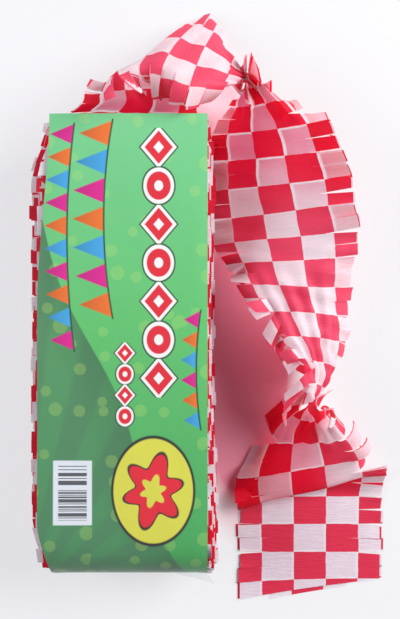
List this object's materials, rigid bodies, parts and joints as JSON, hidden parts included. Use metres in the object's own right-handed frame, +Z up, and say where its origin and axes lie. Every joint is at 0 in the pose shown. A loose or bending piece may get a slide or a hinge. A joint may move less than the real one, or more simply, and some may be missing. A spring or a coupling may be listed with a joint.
{
  "type": "crepe paper garland",
  "caption": "Fan-folded pack of chequered crepe paper garland in a printed film wrapper, its fringed free end drawn out, twisted and laid beside the pack.",
  "frame": {"origin": "middle of the pack's flat underside, on the film", "axes": "+Z up from the surface that the pack lies on, +Y along the pack towards the end that the free strip leaves from, +X across the pack towards the free strip"},
  "size_m": [0.2055, 0.3524, 0.0665],
  "materials": {
    "crepe_paper": "dry creped tissue in red and white checks",
    "printed_film": "thin glossy film, printed in front and clear at the back"
  },
  "bodies": {
    "root": {"crepe_garland": "crepe_paper", "printed_wrapper": "printed_film"}
  },
  "joints": []
}
